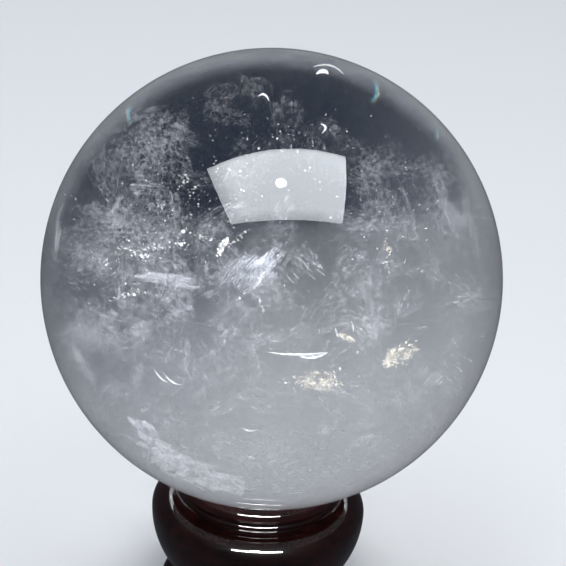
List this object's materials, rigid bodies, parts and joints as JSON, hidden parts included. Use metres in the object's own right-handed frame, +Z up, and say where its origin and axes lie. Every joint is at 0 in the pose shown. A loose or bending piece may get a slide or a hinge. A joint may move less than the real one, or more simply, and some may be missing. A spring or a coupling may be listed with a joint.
{
  "type": "crystal ball",
  "caption": "Polished natural quartz ball resting on a felt ring in a turned, lacquered rosewood stand with a cupped top, rounded belly and foot.",
  "frame": {"origin": "centre of the underside of the base felt, on the table", "axes": "+Z up along the turning axis of the stand and through the centre of the ball"},
  "size_m": [0.1, 0.1, 0.131],
  "materials": {
    "quartz": "polished natural quartz, clear above and milky below",
    "seat_felt": "dense pressed wool felt",
    "rosewood_red": "turned rosewood under gloss lacquer",
    "rosewood_dark": "turned rosewood, stained dark, under gloss lacquer",
    "screw_brass": "plain turned brass",
    "washer_steel": "stamped steel",
    "base_felt": "self-adhesive felt"
  },
  "bodies": {
    "stand": {"cup_collar": "rosewood_red", "stand_belly": "rosewood_dark", "stand_foot": "rosewood_dark", "centre_screw": "screw_brass", "screw_washer": "washer_steel", "base_felt": "base_felt"},
    "seat": {"seat_ring": "seat_felt"},
    "ball": {"crystal_ball": "quartz"}
  },
  "joints": [
    {"name": "seat_turn", "type": "hinge", "parent": "stand", "child": "seat", "pos_m": [0, 0, 0.0301], "axis": [0, 0, 1], "continuous": true},
    {"name": "ball_lift", "type": "slide", "parent": "seat", "child": "ball", "axis": [0, 0, 1], "range_m": [0, 0.12]}
  ]
}
